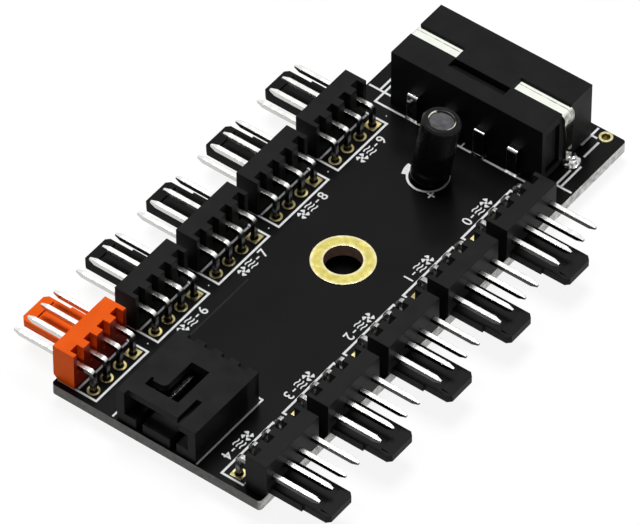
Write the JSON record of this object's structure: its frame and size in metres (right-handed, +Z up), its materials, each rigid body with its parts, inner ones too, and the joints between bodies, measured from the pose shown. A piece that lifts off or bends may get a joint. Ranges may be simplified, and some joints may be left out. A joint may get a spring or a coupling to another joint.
{
  "type": "fan controller hub",
  "caption": "Bare circuit-board hub with right-angle fan headers along both long edges, a power inlet and a control inlet at its ends, and a central mounting hole.",
  "frame": {"origin": "centre of the mounting hole on the board's underside", "axes": "+X towards fan ports 0 to 4, +Y along the board towards the power inlet, +Z up through the components"},
  "size_m": [0.049, 0.0746, 0.0133],
  "materials": {
    "laminate": "black solder mask, half gloss",
    "gold_plate": "gold flash, satin",
    "black_nylon": "moulded, matt",
    "orange_nylon": "moulded, matt",
    "tin_plate": "bright tin",
    "strap_steel": "bright tin",
    "can_aluminium": "satin",
    "sleeve_plastic": "shrunk, glossy",
    "bung_rubber": "moulded"
  },
  "bodies": {
    "root": {"board": "laminate", "mounting_hole_plating": "gold_plate", "fan_header_0": "black_nylon", "fan_header_1": "black_nylon", "fan_header_2": "black_nylon", "fan_header_3": "black_nylon", "fan_header_4": "black_nylon", "fan_header_5": "orange_nylon", "fan_header_6": "black_nylon", "fan_header_7": "black_nylon", "fan_header_8": "black_nylon", "fan_header_9": "black_nylon", "fan_pins_0": "tin_plate", "fan_pins_1": "tin_plate", "fan_pins_2": "tin_plate", "fan_pins_3": "tin_plate", "fan_pins_4": "tin_plate", "fan_pins_5": "tin_plate", "fan_pins_6": "tin_plate", "fan_pins_7": "tin_plate", "fan_pins_8": "tin_plate", "fan_pins_9": "tin_plate", "power_housing": "black_nylon", "power_strap": "strap_steel", "power_pin_1": "tin_plate", "power_pin_2": "tin_plate", "power_pin_3": "tin_plate", "power_pin_4": "tin_plate", "control_housing": "black_nylon", "control_pin_1": "tin_plate", "control_pin_2": "tin_plate", "control_pin_3": "tin_plate", "control_pin_4": "tin_plate", "capacitor_can": "can_aluminium", "capacitor_sleeve": "sleeve_plastic", "capacitor_bung": "bung_rubber", "capacitor_leads": "tin_plate"}
  },
  "joints": []
}
